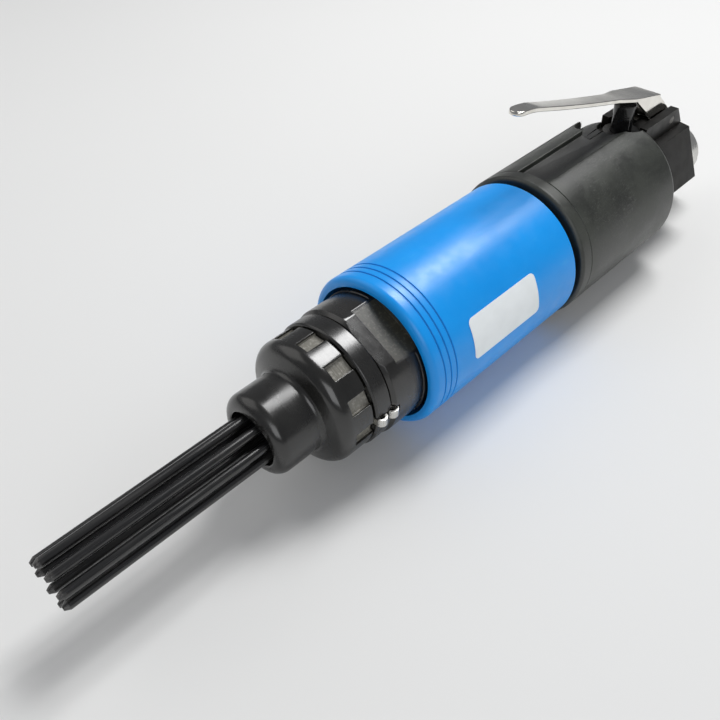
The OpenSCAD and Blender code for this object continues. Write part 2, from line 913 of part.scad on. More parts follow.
module rear_casing() {
    color([0.1, 0.1, 0.11])
        placed()
            difference() {
                turned(concat(
                    [[hex_hole_r, casing_x0]],
                    arc(casing_x0 + casing_edge_r, casing_r - casing_edge_r, casing_edge_r, 180, 90),
                    [
                        [casing_r, casing_x1],
                        [cover_r, casing_x1],
                        [cover_r, casing_x0 + casing_wall_len],
                        [hex_hole_r, casing_x0 + casing_wall_len]
                    ]
                ));
                translate([casing_x0 - overrun, 0, 0])
                    rotate([90, 0, 90])
                        linear_extrude(height = casing_len + 2 * overrun)
                            polygon([
                                [-channel_shift - channel_w / 2, channel_z],
                                [-channel_shift + channel_w / 2, channel_z],
                                [-channel_shift + channel_w / 2 + channel_ramp, casing_r],
                                [-channel_shift + channel_w / 2 + channel_ramp, casing_r + overrun],
                                [-channel_shift - channel_w / 2, casing_r + overrun]
                            ]);
                difference() {
                    translate([stem_x, 0, 0])
                        cylinder(h = casing_d, r = scoop_r);
                    translate([stem_x - scoop_r, -channel_shift, -overrun])
                        cube([2 * scoop_r, casing_d, casing_d + 2 * overrun]);
                    bar(casing_x0 - scoop_r, casing_x1, casing_r - channel_depth);
                }
                translate([stem_x, 0, 0])
                    cylinder(h = casing_d, r = boss_r + clip_side);
                translate([casing_x0 - overrun, -boss_r - clip_side, 0])
                    cube([stem_x - casing_x0 + overrun, 2 * (boss_r + clip_side), casing_d]);
                foot_flat(casing_x0 - overrun, casing_x1 + overrun);
            }
}

module ear(y) {
    translate([0, y + ear_t / 2, 0])
        rotate([90, 0, 0])
            linear_extrude(height = ear_t)
                polygon([
                    [ear_x1, 0],
                    [ear_x1, ear_z],
                    [pivot_x - ear_top_back, ear_z],
                    [ear_x0, hex_half],
                    [ear_x0, 0]
                ]);
}

module backhead() {
    color([0.14, 0.14, 0.15])
        placed()
            difference() {
                union() {
                    bar(back_x0, back_x1, back_r);
                    translate([hex_x0, 0, 0])
                        rotate([0, 90, 0])
                            rotate([0, 0, 30 - hex_turn])
                                cylinder(h = back_x0 - hex_x0 + overrun, r = hex_corner_r, $fn = 6);
                    translate([stem_x, 0, 0])
                        cylinder(h = boss_z, r = boss_r);
                    ear(ear_in + ear_t / 2);
                    ear(-ear_in - ear_t / 2);
                }
                bar(barrel_x0, back_x1 + overrun, tail_r + push_fit);
                bar(cap_x0, barrel_x0 + overrun, chest_r);
                translate([0, 0, bush_port_z])
                    bar(stem_x, cap_x0 + overrun, supply_r);
                translate([stem_x, 0, valve_floor_z])
                    cylinder(h = casing_d, r = valve_r);
                translate([stem_x, 0, boss_z])
                    cylinder(h = casing_d, r = bush_flange_r + seam);
                translate([0, 0, -inlet_drop]) {
                    bar(hex_x0 - overrun, inlet_x1, inlet_spigot_r + push_fit);
                    bar(hex_x0, stem_x, inlet_pass_r);
                }
                difference() {
                    translate([hex_x0 - overrun, -ear_in, hex_half - ear_slot_depth])
                        cube([stem_x - hex_x0, 2 * ear_in, casing_d]);
                    translate([stem_x, 0, 0])
                        cylinder(h = boss_z, r = boss_r);
                    translate([hex_x0 - 2 * overrun, -casing_r, 0])
                        cube([ear_x0 - hex_x0 + 2 * overrun, casing_d, hex_corner_r]);
                }
                translate([pivot_x, 0, pivot_z])
                    rotate([90, 0, 0])
                        cylinder(h = casing_d, r = lever_pin_r + push_fit, center = true);
                difference() {
                    bar(sleeve_seal_x - seal_room, sleeve_seal_x + seal_room, casing_r);
                    bar(casing_x0, back_x1 + overrun, sleeve_seal_r - seal_wire_r - seal_gap);
                }
            }
}

module throttle_bush() {
    color([0.55, 0.45, 0.2])
        placed()
            translate([stem_x, 0, 0])
                difference() {
                    union() {
                        translate([0, 0, bush_z])
                            cylinder(h = bush_top_z - bush_z, r = valve_r - push_fit);
                        translate([0, 0, boss_z])
                            cylinder(h = bush_flange_t, r = bush_flange_r);
                    }
                    translate([0, 0, bush_z - overrun])
                        cylinder(h = casing_d, r = stem_r + slide_fit);
                    translate([0, 0, bush_z - overrun])
                        cylinder(h = bush_room_len + overrun, r = bush_room_r);
                    translate([0, 0, bush_port_z])
                        rotate([0, 90, 0])
                            cylinder(h = casing_d, r = bush_port_r);
                }
}

module throttle_seat() {
    color([0.7, 0.55, 0.25])
        placed()
            translate([stem_x, 0, throttle_seat_z])
                difference() {
                    cylinder(h = throttle_seat_t, r = valve_r - push_fit);
                    translate([0, 0, -overrun])
                        cylinder(h = throttle_seat_t + 2 * overrun, r = throttle_seat_r);
                }
}

module throttle_stem() {
    color([0.05, 0.05, 0.06])
        placed()
            translate([stem_x, 0, 0])
                difference() {
                    rotate_extrude()
                        polygon(concat(
                            [
                                [0, stem_foot_z],
                                [stem_rod_r, stem_foot_z],
                                [stem_rod_r, stem_neck_z],
                                [stem_r, stem_neck_z],
                                [stem_r, flare_z],
                                [stem_head_r, head_side_z - edge_break],
                                [stem_head_r, head_side_z]
                            ],
                            [
                                for (i = [1 : arc_steps])
                                    let (a = asin(stem_head_r / dome_r) * (1 - i / arc_steps))
                                        [dome_r * sin(a), dome_z + dome_r * cos(a)]
                            ]
                        ));
                    difference() {
                        translate([0, 0, stem_seal_z - stem_seal_room])
                            cylinder(h = 2 * stem_seal_room, r = valve_r);
                        translate([0, 0, stem_foot_z])
                            cylinder(h = casing_d, r = stem_r - 2 * stem_seal_wire_r - seal_gap);
                    }
                }
}

module stem_o_ring() {
    color([0.03, 0.03, 0.03])
        placed()
            translate([stem_x, 0, stem_seal_z])
                rotate_extrude()
                    translate([stem_r - stem_seal_wire_r, 0])
                        circle(r = stem_seal_wire_r);
}

module throttle_ball() {
    color([0.75, 0.75, 0.77])
        placed()
            translate([stem_x, 0, ball_z])
                sphere(r = ball_r);
}

module throttle_spring() {
    color([0.6, 0.6, 0.62])
        placed()
            translate([stem_x, 0, valve_floor_z])
                coil(throttle_spring_turns, throttle_spring_r, throttle_spring_wire, throttle_spring_len);
}

// side view of the lever strip, along the lever and up from the pivot
function strip_edge(up) = [
    for (i = [0 : bow_steps])
        let (u = lug_back + (lever_len - lug_back) * i / bow_steps)
            [u, lever_rise + bow_at(u) - drop_at(u) + up]
];

module strip_side() {
    polygon(concat(strip_edge(0), [for (i = [bow_steps : -1 : 0]) strip_edge(lever_t)[i]]));
}

// the strip seen from above, tapering from the lugs to a round tip
module strip_plan() {
    polygon([
        [0, -lever_w / 2],
        [lug_front, -lever_w / 2],
        [lug_front + lever_taper_len, -lever_mid_w / 2],
        [lever_len - lever_tip_w / 2, -lever_tip_w / 2],
        [lever_len - lever_tip_w / 2, lever_tip_w / 2],
        [lug_front + lever_taper_len, lever_mid_w / 2],
        [lug_front, lever_w / 2],
        [0, lever_w / 2]
    ]);
    translate([lever_len - lever_tip_w / 2, 0])
        circle(r = lever_tip_w / 2);
}

module lug_side() {
    difference() {
        union() {
            polygon([
                [lug_front, lever_rise + lever_t / 2],
                [lug_back, lever_rise + lever_t / 2],
                [-lug_end_r * sin(lug_lean), lug_end_r * cos(lug_lean)],
                [lug_end_r * sin(lug_lean), -lug_end_r * cos(lug_lean)]
            ]);
            circle(r = lug_end_r);
        }
        circle(r = lever_pin_r + slide_fit);
    }
}

module lever() {
    color([0.8, 0.8, 0.82])
        placed()
            translate([pivot_x, 0, pivot_z])
                rotate([0, -lever_tilt, 0])
                    union() {
                        intersection() {
                            rotate([90, 0, 0])
                                linear_extrude(height = lever_w, center = true)
                                    strip_side();
                            linear_extrude(height = lever_len)
                                strip_plan();
                        }
                        for (side = [-1, 1])
                            translate([0, side * (lever_w - lug_t) / 2, 0])
                                rotate([90, 0, 0])
                                    linear_extrude(height = lug_t, center = true)
                                        lug_side();
                    }
}

module lever_pin() {
    color([0.5, 0.5, 0.52])
        placed()
            translate([pivot_x, 0, pivot_z])
                rotate([90, 0, 0])
                    cylinder(h = 2 * (ear_in + ear_t), r = lever_pin_r, center = true);
}

module inlet_bush() {
    color([0.75, 0.75, 0.77])
        placed()
            translate([0, 0, -inlet_drop])
                difference() {
                    union() {
                        turned([
                            [0, inlet_x0],
                            [inlet_r - inlet_chamfer, inlet_x0],
                            [inlet_r, inlet_x0 + inlet_chamfer],
                            [inlet_r, hex_x0],
                            [0, hex_x0]
                        ]);
                        bar(hex_x0 - overrun, inlet_x1, inlet_spigot_r);
                    }
                    bar(inlet_x0 - overrun, screen_x0, inlet_bore_r);
                    bar(inlet_x0, screen_x0 + screen_t, screen_r + push_fit);
                    bar(inlet_x0, inlet_x1 + overrun, inlet_pass_r);
                }
}

module inlet_screen() {
    color([0.6, 0.6, 0.55])
        placed()
            translate([0, 0, -inlet_drop])
                difference() {
                    bar(screen_x0, screen_x0 + screen_t, screen_r);
                    for (i = [0 : screen_holes - 1])
                        rotate([i * 360 / screen_holes, 0, 0])
                            translate([0, 0, screen_circle_r])
                                bar(screen_x0 - overrun, screen_x0 + screen_t + overrun, screen_hole_r);
                    bar(screen_x0 - overrun, screen_x0 + screen_t + overrun, screen_hole_r);
                }
}

needle_1();
needle_2();
needle_3();
needle_4();
needle_5();
needle_6();
needle_7();
needle_8();
needle_holder();
needle_spring();
nose_housing();
lock_ring();
lock_clip();
barrel();
barrel_o_ring();
anvil();
anvil_bush();
piston();
valve_seat();
valve_disc();
valve_cap();
grip_sleeve();
label_plate();
sleeve_o_ring();
collar_ring();
rear_casing();
backhead();
throttle_bush();
throttle_seat();
throttle_stem();
stem_o_ring();
throttle_ball();
throttle_spring();
lever();
lever_pin();
inlet_bush();
inlet_screen();
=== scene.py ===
"""Looks of the needle scaler: materials, softened edges, label, springs, camera, floor and light.

Metres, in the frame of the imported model: +X to the needles, +Y to the label side, +Z to the lever.
"""
import math

import bmesh
import bpy
from mathutils import Matrix, Vector


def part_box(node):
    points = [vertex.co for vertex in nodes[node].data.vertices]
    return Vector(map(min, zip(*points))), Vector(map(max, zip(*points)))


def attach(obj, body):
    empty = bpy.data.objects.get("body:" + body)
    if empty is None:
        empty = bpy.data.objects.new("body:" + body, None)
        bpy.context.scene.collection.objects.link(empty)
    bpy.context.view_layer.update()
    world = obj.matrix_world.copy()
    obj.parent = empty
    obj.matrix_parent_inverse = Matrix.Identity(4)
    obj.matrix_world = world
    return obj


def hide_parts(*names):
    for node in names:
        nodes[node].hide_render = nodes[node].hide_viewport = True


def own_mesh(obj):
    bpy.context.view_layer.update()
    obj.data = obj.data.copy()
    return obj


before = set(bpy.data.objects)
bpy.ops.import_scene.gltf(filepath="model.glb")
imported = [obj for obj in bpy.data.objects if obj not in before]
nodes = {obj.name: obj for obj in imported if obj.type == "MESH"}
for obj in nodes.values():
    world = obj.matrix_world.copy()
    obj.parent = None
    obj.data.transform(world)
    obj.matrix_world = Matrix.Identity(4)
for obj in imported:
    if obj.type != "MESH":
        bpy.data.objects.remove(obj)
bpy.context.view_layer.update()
MM = 0.001
X, Z = 0, 2


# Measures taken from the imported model
nose_low, nose_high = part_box("nose_housing")
AXIS_Z = (nose_low.z + nose_high.z) / 2
FLANGE_R = (nose_high.z - nose_low.z) / 2
sleeve_low, sleeve_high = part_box("grip_sleeve")
SLEEVE_R = (sleeve_high.y - sleeve_low.y) / 2
label_low, label_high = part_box("label_plate")
casing_low, casing_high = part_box("rear_casing")
CASING_R = (casing_high.y - casing_low.y) / 2
inlet_low, inlet_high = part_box("inlet_bush")
INLET_Z = (inlet_low.z + inlet_high.z) / 2

# How strongly a mark covers the colour under it
WEAR_SHARE = 0.5
GROOVE_DARK_SHARE = 0.3
SCRATCH_SHARE = 0.35

# Noise stretched along the tool, as drawn wire and brushed strip show it
DRAWN = (0.04, 1, 1)
BRUSHED = (0.05, 1, 1)


class Look:
    """A node material drawn in the object's own coordinates, in metres."""

    def __init__(self, name, colour, rough, metal=0.0, specular=0.5):
        self.mat = bpy.data.materials.new(name)
        self.mat.use_nodes = True
        self.mat.diffuse_color = (*colour, 1)
        self.tree = self.mat.node_tree
        self.tree.nodes.clear()
        out = self.add("ShaderNodeOutputMaterial")
        self.bsdf = self.add("ShaderNodeBsdfPrincipled")
        self.link(self.bsdf.outputs[0], out.inputs["Surface"])
        self.place = self.add("ShaderNodeTexCoord").outputs["Object"]
        self.set("Base Color", (*colour, 1))
        self.set("Roughness", rough)
        self.set("Metallic", metal)
        self.set("Specular IOR Level", specular)

    def add(self, kind, **settings):
        node = self.tree.nodes.new(kind)
        for key, value in settings.items():
            setattr(node, key, value)
        return node

    def link(self, source, target):
        self.tree.links.new(source, target)

    def put(self, value, socket):
        if isinstance(value, bpy.types.NodeSocket):
            self.link(value, socket)
        else:
            socket.default_value = value

    def set(self, name, value):
        self.put(value, self.bsdf.inputs[name])

    def math(self, operation, a, b=0.0):
        node = self.add("ShaderNodeMath", operation=operation)
        self.put(a, node.inputs[0])
        self.put(b, node.inputs[1])
        return node.outputs[0]

    def times(self, a, b):
        return self.math("MULTIPLY", a, b)

    def plus(self, a, b):
        return self.math("ADD", a, b)

    def stretched(self, scale):
        node = self.add("ShaderNodeVectorMath", operation="MULTIPLY")
        self.link(self.place, node.inputs[0])
        node.inputs[1].default_value = scale
        return node.outputs[0]

    def noise(self, size, detail=3.0, rough=0.5, stretch=None, vector=None, twist=0.0):
        """Noise whose features are about size metres across."""
        node = self.add("ShaderNodeTexNoise")
        if vector is None:
            vector = self.place if stretch is None else self.stretched(stretch)
        self.link(vector, node.inputs["Vector"])
        node.inputs["Scale"].default_value = 1 / size
        node.inputs["Detail"].default_value = detail
        node.inputs["Roughness"].default_value = rough
        node.inputs["Distortion"].default_value = twist
        return node.outputs[0]

    def ramp(self, value, low, high, start=0.0, end=1.0):
        """A smooth step from start to end, as the value goes from low to high."""
        node = self.add("ShaderNodeMapRange", interpolation_type="SMOOTHSTEP", clamp=True)
        self.put(value, node.inputs["Value"])
        node.inputs["From Min"].default_value = low
        node.inputs["From Max"].default_value = high
        node.inputs["To Min"].default_value = start
        node.inputs["To Max"].default_value = end
        return node.outputs[0]

    def fall(self, value, low, high):
        return self.ramp(value, low, high, start=1.0, end=0.0)

    def band(self, value, rise, fall):
        """1 between the rise and the fall, each of which is a range of values."""
        return self.times(self.ramp(value, *rise), self.fall(value, *fall))

    def clouds(self, size, low, high, start=0.0, end=1.0, **shape):
        return self.ramp(self.noise(size, **shape), low, high, start, end)

    def mix(self, share, a, b):
        node = self.add("ShaderNodeMix", data_type="RGBA")
        self.put(share, node.inputs["Factor"])
        for value, socket in ((a, node.inputs["A"]), (b, node.inputs["B"])):
            self.put((*value, 1) if isinstance(value, tuple) else value, socket)
        return node.outputs["Result"]

    def axes(self):
        node = self.add("ShaderNodeSeparateXYZ")
        self.link(self.place, node.inputs[0])
        return node.outputs

    def radius(self, height=AXIS_Z):
        """Distance from an axis along X at this height, which is the tool's own if not given."""
        axes = self.axes()
        up = self.math("SUBTRACT", axes["Z"], height)
        return self.math("SQRT", self.plus(self.times(axes["Y"], axes["Y"]), self.times(up, up)))

    def turned_marks(self, size, height=AXIS_Z):
        """Fine rings left by a lathe, on any surface turned about the axis."""
        node = self.add("ShaderNodeCombineXYZ")
        self.link(self.axes()["X"], node.inputs["X"])
        self.link(self.radius(height), node.inputs["Y"])
        return self.noise(size, detail=2.0, vector=node.outputs[0])

    def edges(self, width, full):
        """1 at an outer or inner edge and 0 on open faces. A low value of full reaches further."""
        soft = self.add("ShaderNodeBevel", samples=6)
        soft.inputs["Radius"].default_value = width
        true = self.add("ShaderNodeNewGeometry")
        dot = self.add("ShaderNodeVectorMath", operation="DOT_PRODUCT")
        self.link(soft.outputs[0], dot.inputs[0])
        self.link(true.outputs["Normal"], dot.inputs[1])
        return self.ramp(self.math("SUBTRACT", 1.0, dot.outputs["Value"]), low=0.01, high=full)

    def worn(self, base, tone, width, full, speck, low, high):
        """The base colour with its edges rubbed through to the tone, in specks."""
        rubbed = self.times(self.edges(width, full), self.clouds(speck, low, high, detail=4.0))
        return self.mix(self.times(rubbed, WEAR_SHARE), base, tone)

    def bump(self, height, depth, strength):
        node = self.add("ShaderNodeBump")
        node.inputs["Strength"].default_value = strength
        node.inputs["Distance"].default_value = depth
        self.link(height, node.inputs["Height"])
        old = self.bsdf.inputs["Normal"]
        if old.is_linked:
            self.link(old.links[0].from_socket, node.inputs["Normal"])
        self.link(node.outputs[0], old)


def toned(colour, gain, lift=0.0):
    return tuple(value * gain + lift for value in colour)


def dress(look, *names):
    for name in names:
        nodes[name].material_slots[0].material = look.mat


# Black oxide parts, two of them with places milled bare
def nose_slots(look):
    """The floors of the slots, and not the flange around them."""
    floors = look.band(look.radius(), rise=(FLANGE_R - 2.6 * MM, FLANGE_R - 2.4 * MM),
                       fall=(FLANGE_R - 1.0 * MM, FLANGE_R - 0.6 * MM))
    back = look.fall(look.axes()["X"], nose_low.x + 8.1 * MM, nose_low.x + 8.3 * MM)
    return look.times(floors, back)


def spanner_patch(look):
    """The deep milled flats of the barrel head, and not the band in front of them."""
    flats = look.band(look.radius(), rise=(20.2 * MM, 20.45 * MM), fall=(22.7 * MM, 23.1 * MM))
    along = look.band(look.axes()["X"], rise=(sleeve_high.x - 2.3 * MM, sleeve_high.x - 2.0 * MM),
                      fall=(sleeve_high.x + 8.1 * MM, sleeve_high.x + 8.3 * MM))
    return look.times(flats, along)


LATHE_PITCH = 0.35 * MM
RUBBED_OXIDE = (0.26, 0.25, 0.22)
MILLED_EXTRA_ROUGH = 0.1


def oxide(name, colour, rough, bare=None, milled=None):
    look = Look(name, colour, rough, specular=0.8)
    marks = look.turned_marks(LATHE_PITCH)
    patch = look.clouds(9 * MM, low=0.35, high=0.7, detail=5.0, rough=0.6)
    base = look.mix(patch, colour, toned(colour, gain=1.8, lift=0.002))
    smudge = look.clouds(12 * MM, low=0.3, high=0.75, start=rough * 0.7, end=rough * 1.4,
                         detail=5.0, rough=0.6)
    gloss = look.plus(smudge, look.ramp(marks, low=0.3, high=0.7, end=0.03))
    if bare is not None:
        mask = bare(look)
        specks = look.clouds(0.9 * MM, low=0.5, high=0.66, detail=4.0, rough=0.7)
        base = look.mix(mask, base, look.mix(specks, *milled))
        gloss = look.plus(gloss, look.times(mask, MILLED_EXTRA_ROUGH))
        cutter = look.noise(0.5 * MM, stretch=(1, 1, 0.15))
        look.bump(look.times(mask, cutter), depth=0.02 * MM, strength=0.5)
    look.set("Base Color", look.worn(base, RUBBED_OXIDE, width=0.35 * MM, full=0.16,
                                     speck=2.2 * MM, low=0.42, high=0.62))
    look.set("Roughness", gloss)
    look.bump(marks, depth=0.003 * MM, strength=0.4)
    return look


SLOT_TONES = ((0.20, 0.192, 0.165), (0.36, 0.348, 0.31))
FLAT_TONES = ((0.034, 0.033, 0.024), (0.085, 0.081, 0.062))
dress(oxide("nose_black", (0.0062, 0.0060, 0.0052), 0.22, nose_slots, SLOT_TONES), "nose_housing")
dress(oxide("ring_black", (0.0060, 0.0058, 0.0052), 0.26), "lock_ring")
dress(oxide("barrel_black", (0.0064, 0.0060, 0.0052), 0.24, spanner_patch, FLAT_TONES), "barrel")


# Needles of drawn wire, worn bright at their tips
def needle_look():
    look = Look("needle_oxide", (0.007, 0.007, 0.0072), 0.24, specular=0.8)
    drawn = look.noise(0.5 * MM, stretch=DRAWN)
    patch = look.clouds(6 * MM, low=0.4, high=0.7, detail=4.0, stretch=(0.25, 1, 1))
    base = look.mix(patch, (0.0055, 0.0056, 0.0058), (0.014, 0.0138, 0.0132))
    tip_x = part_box("needle_1")[1].x
    tip = look.ramp(look.axes()["X"], tip_x - 3.0 * MM, tip_x - 0.4 * MM)
    bright = look.times(tip, look.clouds(1.2 * MM, low=0.4, high=0.6, start=0.1, end=0.75))
    look.set("Base Color", look.mix(bright, base, (0.11, 0.105, 0.10)))
    look.set("Roughness", look.ramp(drawn, low=0.25, high=0.75, start=0.18, end=0.30))
    look.bump(drawn, depth=0.004 * MM, strength=0.5)
    return look


NEEDLE_COUNT = 8
dress(needle_look(), *["needle_%d" % (i + 1) for i in range(NEEDLE_COUNT)])


# Blue grip sleeve, darker in its grooves
def sleeve_look():
    look = Look("sleeve_blue", (0.002, 0.30, 0.85), 0.34)
    broad = look.clouds(30 * MM, low=0.3, high=0.7)
    base = look.mix(broad, (0.0008, 0.305, 0.86), (0.0015, 0.34, 0.93))
    grain = look.noise(0.45 * MM, rough=0.6)
    base = look.mix(look.ramp(grain, low=0.45, high=0.75, end=0.16), base, (0.012, 0.38, 0.92))
    grooves = look.band(look.radius(), rise=(SLEEVE_R - 1.2 * MM, SLEEVE_R - 0.9 * MM),
                        fall=(SLEEVE_R - 0.3 * MM, SLEEVE_R - 0.1 * MM))
    front = look.fall(look.axes()["X"], sleeve_high.x - 3.2 * MM, sleeve_high.x - 2.8 * MM)
    # The colour is made darker in the grooves, behind the front rounding
    groove_dark = look.times(grooves, front)
    base = look.mix(look.times(groove_dark, GROOVE_DARK_SHARE), base, (0.002, 0.05, 0.2))
    scuff = look.clouds(3.0 * MM, low=0.62, high=0.74, end=0.25,
                        detail=5.0, rough=0.65, stretch=(0.3, 1, 1))
    look.set("Base Color", look.mix(scuff, base, (0.03, 0.42, 0.90)))
    look.set("Roughness", look.clouds(5 * MM, low=0.3, high=0.7, start=0.30, end=0.40, detail=5.0))
    look.bump(grain, depth=0.02 * MM, strength=0.25)
    return look


dress(sleeve_look(), "grip_sleeve")


# Dull rear casing with clouds, fine scratches and rubbed edges, and painted shade in its channel
def casing_look():
    look = Look("casing_rubber", (0.016, 0.018, 0.015), 0.42, specular=0.75)
    cloud = look.noise(14 * MM, detail=6.0, rough=0.62, twist=0.4)
    base = look.mix(look.ramp(cloud, low=0.3, high=0.7), (0.010, 0.0115, 0.0088), (0.032, 0.036, 0.028))
    fine = look.noise(0.8 * MM, detail=4.0, rough=0.6)
    base = look.mix(look.ramp(fine, low=0.5, high=0.8, end=0.5), base, (0.060, 0.066, 0.055))
    # Painted shade: the colour darkens below the outer radius, in the channel along the top and in other
    # recesses
    deep = look.ramp(look.radius(), CASING_R - 2.2 * MM, CASING_R - 0.9 * MM, start=0.8, end=0.0)
    base = look.mix(deep, base, (0.008, 0.008, 0.007))
    scratch = look.noise(2.2 * MM, detail=4.0, rough=0.55, stretch=(0.35, 1.6, 1.0), twist=1.2)
    line = look.band(scratch, rise=(0.485, 0.498), fall=(0.502, 0.515))
    line = look.times(line, look.clouds(18 * MM, low=0.45, high=0.62, detail=2.0))
    base = look.mix(look.times(line, SCRATCH_SHARE), base, (0.13, 0.13, 0.118))
    look.set("Base Color", look.worn(base, (0.16, 0.155, 0.14), width=0.6 * MM, full=0.14,
                                     speck=2.5 * MM, low=0.4, high=0.62))
    look.set("Roughness", look.ramp(cloud, low=0.3, high=0.7, start=0.35, end=0.50))
    look.bump(fine, depth=0.06 * MM, strength=0.5)
    look.bump(line, depth=0.03 * MM, strength=0.3)
    return look


dress(casing_look(), "rear_casing", "collar_ring")


# Cast backhead
def backhead_look():
    look = Look("backhead_black", (0.007, 0.0065, 0.0052), 0.34, specular=0.22)
    cast = look.noise(1.1 * MM, detail=4.0, rough=0.6)
    patch = look.clouds(8 * MM, low=0.35, high=0.7, detail=4.0)
    base = look.mix(patch, (0.005, 0.0047, 0.0039), (0.011, 0.0100, 0.0082))
    look.set("Base Color", look.worn(base, (0.2, 0.19, 0.17), width=0.45 * MM, full=0.15,
                                     speck=2.4 * MM, low=0.42, high=0.64))
    look.set("Roughness", look.clouds(5 * MM, low=0.3, high=0.7, start=0.28, end=0.42, detail=4.0))
    look.bump(cast, depth=0.03 * MM, strength=0.35)
    return look


dress(backhead_look(), "backhead")


# Bare or plated metal with smudges, fine marks and a little tarnish
METAL_GRAIN = 0.4 * MM


def metal_look(name, colour, rough, stretch=None, tarnish=None, turned=False, depth=0.006 * MM):
    look = Look(name, colour, rough, metal=1.0)
    smudge = look.noise(7 * MM, detail=5.0, rough=0.6)
    tone = tarnish or toned(colour, gain=0.78)
    look.set("Base Color", look.mix(look.ramp(smudge, low=0.35, high=0.75, end=0.7), colour, tone))
    if turned:
        marks = look.turned_marks(METAL_GRAIN, INLET_Z)
    else:
        marks = look.noise(METAL_GRAIN, stretch=stretch)
    gloss = look.ramp(smudge, low=0.3, high=0.7, start=rough * 0.8, end=rough * 1.3)
    change = look.ramp(marks, low=0.3, high=0.7, start=-0.15 * rough, end=0.25 * rough)
    look.set("Roughness", look.plus(gloss, change))
    look.bump(marks, depth, strength=0.5)
    return look


dress(metal_look("lever_nickel", (0.80, 0.78, 0.73), 0.085, stretch=BRUSHED, tarnish=(0.62, 0.59, 0.54),
                 depth=0.001 * MM), "lever")
dress(metal_look("clip_bright", (0.66, 0.65, 0.62), 0.3), "lock_clip")
dress(metal_look("inlet_steel", (0.66, 0.655, 0.63), 0.28, turned=True), "inlet_bush")
dress(metal_look("pin_steel", (0.17, 0.165, 0.155), 0.35), "lever_pin")
dress(metal_look("ground_steel", (0.42, 0.41, 0.39), 0.35), "needle_holder", "anvil", "piston",
      "valve_seat", "valve_disc", "valve_cap", "throttle_ball")
spring_wire = metal_look("spring_wire", (0.5, 0.49, 0.47), 0.3)
dress(metal_look("bronze_bush", (0.56, 0.40, 0.20), 0.34, tarnish=(0.30, 0.19, 0.10)), "anvil_bush",
      "throttle_seat", "inlet_screen")


# Small dark pieces
def small_look(name, colour, rough, size, specular=0.5):
    look = Look(name, colour, rough, specular=specular)
    grain = look.noise(size, detail=4.0)
    patch = look.ramp(grain, low=0.4, high=0.75)
    look.set("Base Color", look.mix(patch, colour, toned(colour, gain=1.7, lift=0.006)))
    look.set("Roughness", look.clouds(size * 4, low=0.3, high=0.7, start=rough * 0.85, end=rough * 1.25))
    look.bump(grain, depth=0.003 * MM, strength=0.3)
    return look


dress(small_look("stem_gloss", (0.007, 0.007, 0.0075), 0.13, 2.5 * MM), "throttle_stem")
dress(small_look("bush_dark", (0.02, 0.019, 0.017), 0.36, 0.8 * MM), "throttle_bush")
dress(small_look("seal_rubber", (0.007, 0.007, 0.007), 0.75, 0.5 * MM, specular=0.2), "barrel_o_ring",
      "sleeve_o_ring", "stem_o_ring")


# Softened edges on the solids that show. A wider edge on the barrel or the backhead tears its faces.
EDGE_WIDTHS_MM = {
    "nose_housing": 0.22, "lock_ring": 0.18, "barrel": 0.16, "lock_clip": 0.15, "grip_sleeve": 0.15,
    "collar_ring": 0.2, "rear_casing": 0.45, "backhead": 0.12, "lever": 0.35, "lever_pin": 0.25,
    "inlet_bush": 0.2, "throttle_bush": 0.15,
}
WELD_GAP = 1e-6
FLAT_ANGLE = math.radians(0.4)
EDGE_ANGLE = math.radians(28)
EDGE_SEGMENTS = 2


def soften(name, width):
    piece = nodes[name]
    weld = piece.modifiers.new("weld", "WELD")
    weld.merge_threshold = WELD_GAP
    flat = piece.modifiers.new("flat_faces", "DECIMATE")
    flat.decimate_type = "DISSOLVE"
    flat.angle_limit = FLAT_ANGLE
    bevel = piece.modifiers.new("edge", "BEVEL")
    bevel.width = width
    bevel.segments = EDGE_SEGMENTS
    bevel.limit_method = "ANGLE"
    bevel.angle_limit = EDGE_ANGLE
    bevel.use_clamp_overlap = False
    bevel.miter_outer = "MITER_ARC"
    weighted = piece.modifiers.new("normals", "WEIGHTED_NORMAL")
    weighted.keep_sharp = False
    for face in piece.data.polygons:
        face.use_smooth = True


for name, width in EDGE_WIDTHS_MM.items():
    soften(name, width * MM)


def add_object(name, data):
    piece = bpy.data.objects.new(name, data)
    bpy.context.scene.collection.objects.link(piece)
    return piece


def write_outward(made, mesh):
    """Turns all faces outward and writes them to the mesh."""
    bmesh.ops.recalc_face_normals(made, faces=made.faces)
    made.to_mesh(mesh)
    made.free()


# The label: a curved white plate with round corners, left bare
LABEL_TURN = math.radians(73)
LABEL_CORNER = 2.0 * MM
LABEL_CORNER_STEPS = 8
LABEL_HALF_HEIGHT = 7.75 * MM
LABEL_STRIPS = 16
LABEL_UNDER_R = SLEEVE_R + 0.03 * MM
LABEL_FACE_R = SLEEVE_R + 0.28 * MM
LABEL_EDGE_WIDTH = 0.06 * MM
LABEL_EDGE_ANGLE = math.radians(40)


def label_outline(half_x):
    """Points along the flat plate's edge: x, and the way around the sleeve."""
    outline = []
    for side_x, side_s, start in ((1, 1, 0), (-1, 1, 90), (-1, -1, 180), (1, -1, 270)):
        for step in range(LABEL_CORNER_STEPS + 1):
            turn = math.radians(start + step * 90 / LABEL_CORNER_STEPS)
            outline.append((side_x * (half_x - LABEL_CORNER) + LABEL_CORNER * math.cos(turn),
                            side_s * (LABEL_HALF_HEIGHT - LABEL_CORNER) + LABEL_CORNER * math.sin(turn)))
    return outline


def label_look():
    look = Look("label_bare", (0.88, 0.92, 0.93), 0.34)
    dull = look.clouds(6 * MM, low=0.35, high=0.7, detail=4.0)
    look.set("Base Color", look.mix(dull, (0.93, 0.97, 0.98), (0.89, 0.93, 0.94)))
    look.set("Roughness", look.clouds(3 * MM, low=0.3, high=0.7, start=0.28, end=0.42, detail=4.0))
    look.bump(look.noise(0.9 * MM), depth=0.02 * MM, strength=0.3)
    return look


